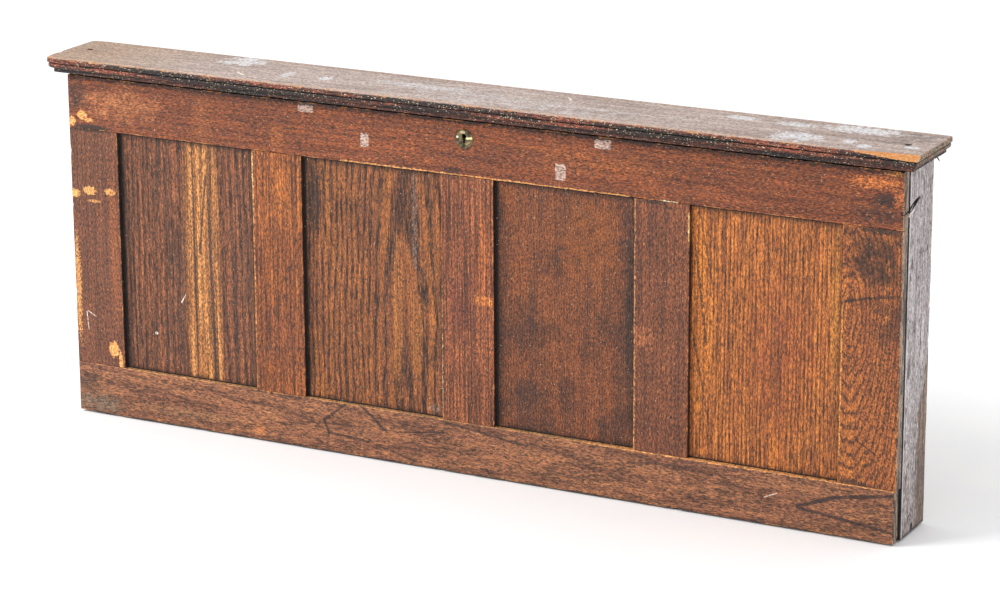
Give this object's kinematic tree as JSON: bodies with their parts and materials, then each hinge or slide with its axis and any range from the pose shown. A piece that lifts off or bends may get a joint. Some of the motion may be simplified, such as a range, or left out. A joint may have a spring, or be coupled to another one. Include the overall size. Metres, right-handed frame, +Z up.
{
  "type": "time clock card cabinet",
  "caption": "Shallow wall-hung oak cabinet with a moulded top, a lockable framed drop front and a pigeonhole rack for time cards.",
  "frame": {"origin": "middle of the cabinet's overall footprint, on the plane its foot stands on", "axes": "+X along the cabinet's length, to the right as seen from the front; +Y from the drop front to the wall side; +Z up"},
  "size_m": [1.0556, 0.1018, 0.4225],
  "materials": {
    "frame_oak": "aged satin varnish, worn at the edges",
    "panel_oak": "aged satin varnish",
    "cornice_oak": "darkened varnish, bare at the arrises",
    "case_side_oak": "weathered grey-brown",
    "back_board": "bare, aged",
    "rack_board": "bare, aged",
    "aged_brass": "tarnished",
    "lock_steel": "dull",
    "dark_steel": "rusted dark"
  },
  "bodies": {
    "case": {"case_back_lower": "back_board", "case_back_upper": "back_board", "case_bottom": "case_side_oak", "case_side_left": "case_side_oak", "case_side_right": "case_side_oak", "case_top": "cornice_oak", "hinge_left_case_leaf": "aged_brass", "hinge_left_case_screw_1": "aged_brass", "hinge_left_case_screw_2": "aged_brass", "hinge_left_pin": "aged_brass", "hinge_middle_case_leaf": "aged_brass", "hinge_middle_case_screw_1": "aged_brass", "hinge_middle_case_screw_2": "aged_brass", "hinge_middle_pin": "aged_brass", "hinge_right_case_leaf": "aged_brass", "hinge_right_case_screw_1": "aged_brass", "hinge_right_case_screw_2": "aged_brass", "hinge_right_pin": "aged_brass", "lock_strike": "aged_brass", "rack_divider_1": "rack_board", "rack_divider_2": "rack_board", "rack_divider_3": "rack_board", "rack_divider_4": "rack_board", "rack_divider_5": "rack_board", "rack_divider_6": "rack_board", "rack_divider_7": "rack_board", "rack_divider_8": "rack_board", "rack_divider_9": "rack_board", "rack_shelf": "rack_board", "top_screw_left": "dark_steel", "top_screw_right": "dark_steel"},
    "drop_front": {"door_muntin_1": "frame_oak", "door_muntin_2": "frame_oak", "door_muntin_3": "frame_oak", "door_panel_1": "panel_oak", "door_panel_2": "panel_oak", "door_panel_3": "panel_oak", "door_panel_4": "panel_oak", "door_rail_bottom": "frame_oak", "door_rail_top": "frame_oak", "door_stile_left": "frame_oak", "door_stile_right": "frame_oak", "hinge_left_door_leaf": "aged_brass", "hinge_left_door_screw_1": "aged_brass", "hinge_left_door_screw_2": "aged_brass", "hinge_middle_door_leaf": "aged_brass", "hinge_middle_door_screw_1": "aged_brass", "hinge_middle_door_screw_2": "aged_brass", "hinge_right_door_leaf": "aged_brass", "hinge_right_door_screw_1": "aged_brass", "hinge_right_door_screw_2": "aged_brass", "lock_cap": "aged_brass", "lock_case": "lock_steel", "lock_drill_pin": "lock_steel", "lock_escutcheon": "aged_brass", "lock_spring": "lock_steel"},
    "bolt": {"lock_bolt": "lock_steel"}
  },
  "joints": [
    {"name": "drop_front_hinge", "type": "hinge", "parent": "case", "child": "drop_front", "pos_m": [0, -0.01825, 0.0034], "axis": [1, 0, 0], "range_deg": [0, 90]},
    {"name": "bolt_throw", "type": "slide", "parent": "drop_front", "child": "bolt", "axis": [0, 0, 1], "range_m": [0, 0.009]}
  ]
}
